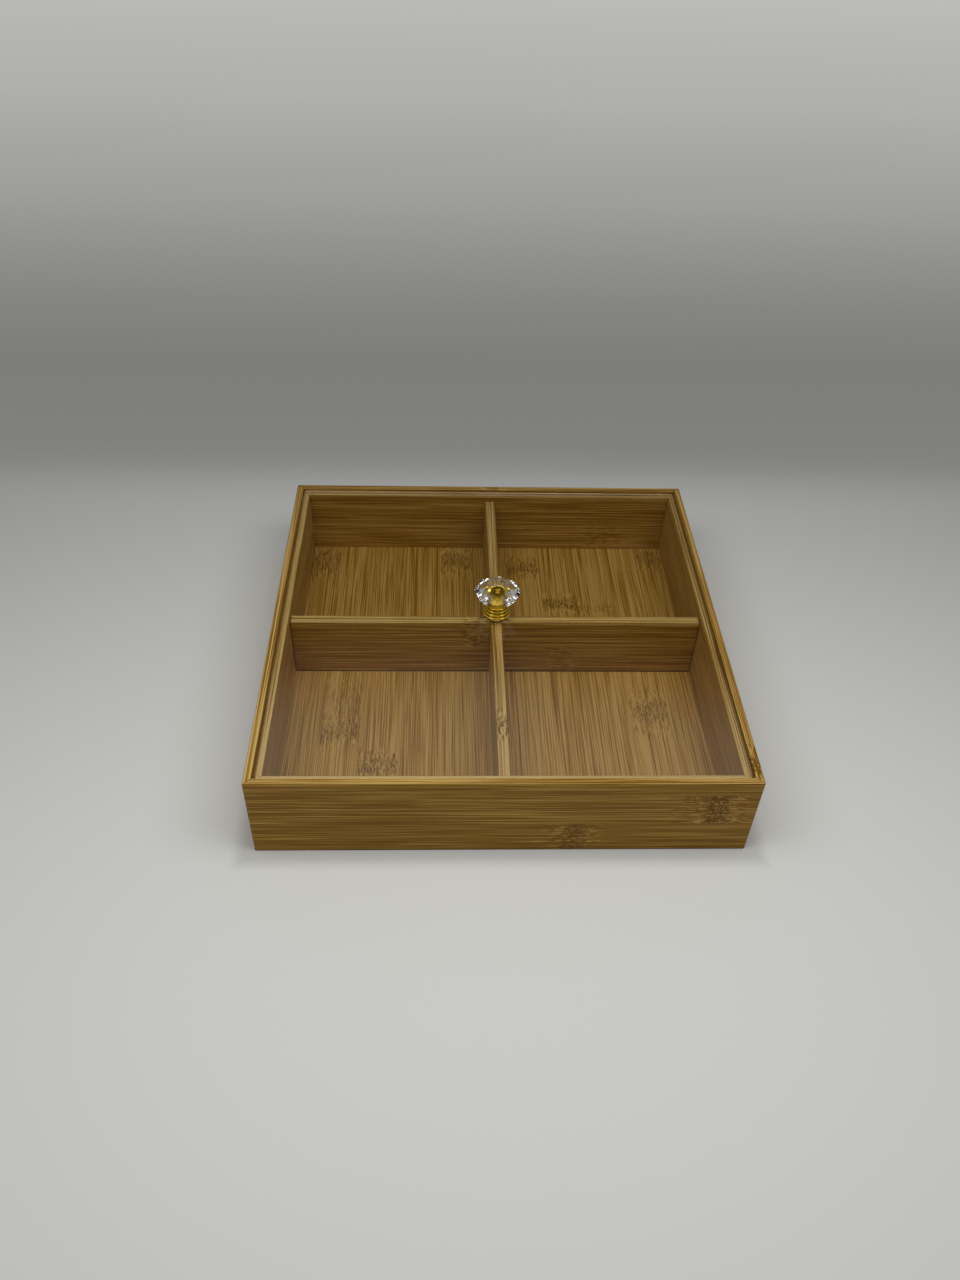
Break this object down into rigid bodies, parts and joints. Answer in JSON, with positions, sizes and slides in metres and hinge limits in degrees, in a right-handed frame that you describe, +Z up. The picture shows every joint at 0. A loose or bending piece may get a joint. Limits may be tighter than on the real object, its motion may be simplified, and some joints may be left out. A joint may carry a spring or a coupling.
{
  "type": "lidded organizer box",
  "caption": "Square low bamboo box with half-lapped dividers that make compartments, and a lift-off clear lid with a cut-crystal knob.",
  "frame": {"origin": "middle of the underside", "axes": "+Z up towards the knob, front at -Y, +X to the right seen from the front"},
  "size_m": [0.24, 0.24, 0.0684],
  "materials": {
    "bamboo_wall": "carbonised bamboo, thin satin lacquer",
    "bamboo_floor": "flat-pressed bamboo strips, thin satin lacquer",
    "bamboo_divider": "bamboo board, thin satin lacquer",
    "clear_sheet": "clear polished acrylic sheet",
    "polished_gold": "polished gold-coloured plating",
    "cut_crystal": "clear cut glass with flat facets",
    "zinc_steel": "zinc-plated steel"
  },
  "bodies": {
    "tray": {"front_wall": "bamboo_wall", "back_wall": "bamboo_wall", "left_wall": "bamboo_wall", "right_wall": "bamboo_wall", "front_liner": "bamboo_wall", "back_liner": "bamboo_wall", "left_liner": "bamboo_wall", "right_liner": "bamboo_wall", "base_panel": "bamboo_floor"},
    "cross_divider": {"divider_side_to_side": "bamboo_divider"},
    "long_divider": {"divider_front_to_back": "bamboo_divider"},
    "lid": {"lid_panel": "clear_sheet", "knob_bell": "polished_gold", "knob_insert": "polished_gold", "knob_crystal": "cut_crystal", "knob_screw": "zinc_steel"}
  },
  "joints": [
    {"name": "side_divider_lift", "type": "slide", "parent": "tray", "child": "cross_divider", "axis": [0, 0, 1], "range_m": [0, 0.05]},
    {"name": "front_divider_lift", "type": "slide", "parent": "cross_divider", "child": "long_divider", "axis": [0, 0, 1], "range_m": [0, 0.05]},
    {"name": "lid_lift", "type": "slide", "parent": "long_divider", "child": "lid", "axis": [0, 0, 1], "range_m": [0, 0.05]}
  ]
}
